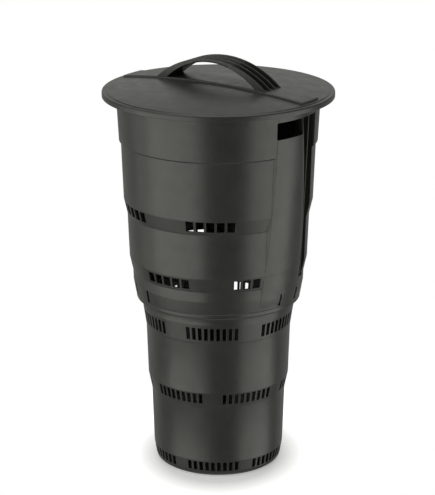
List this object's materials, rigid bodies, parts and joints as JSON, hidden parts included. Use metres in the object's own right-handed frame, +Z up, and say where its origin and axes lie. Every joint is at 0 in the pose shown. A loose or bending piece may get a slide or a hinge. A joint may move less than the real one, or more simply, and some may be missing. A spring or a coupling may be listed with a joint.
{
  "type": "wormery",
  "caption": "Tapering round compost bin in two nested slotted sections, with grip openings under a wide rim and a loose domed lid with an arched handle.",
  "frame": {"origin": "on the floor under the middle of the bin's base", "axes": "+Z up along the bin's axis, +X through the middle of one grip panel, with the lid handle along X"},
  "size_m": [0.3479, 0.3478, 0.633],
  "materials": {
    "bin_plastic": "satin moulded polypropylene, dark warm grey",
    "lid_plastic": "satin moulded polypropylene, dark warm grey",
    "handle_plastic": "satin moulded polypropylene, dark warm grey"
  },
  "bodies": {
    "bin": {"lower_section": "bin_plastic", "upper_section": "bin_plastic"},
    "lid": {"lid": "lid_plastic", "lid_handle": "handle_plastic"}
  },
  "joints": [
    {"name": "lid_lift", "type": "slide", "parent": "bin", "child": "lid", "axis": [0, 0, 1], "range_m": [0, 0.2]}
  ]
}
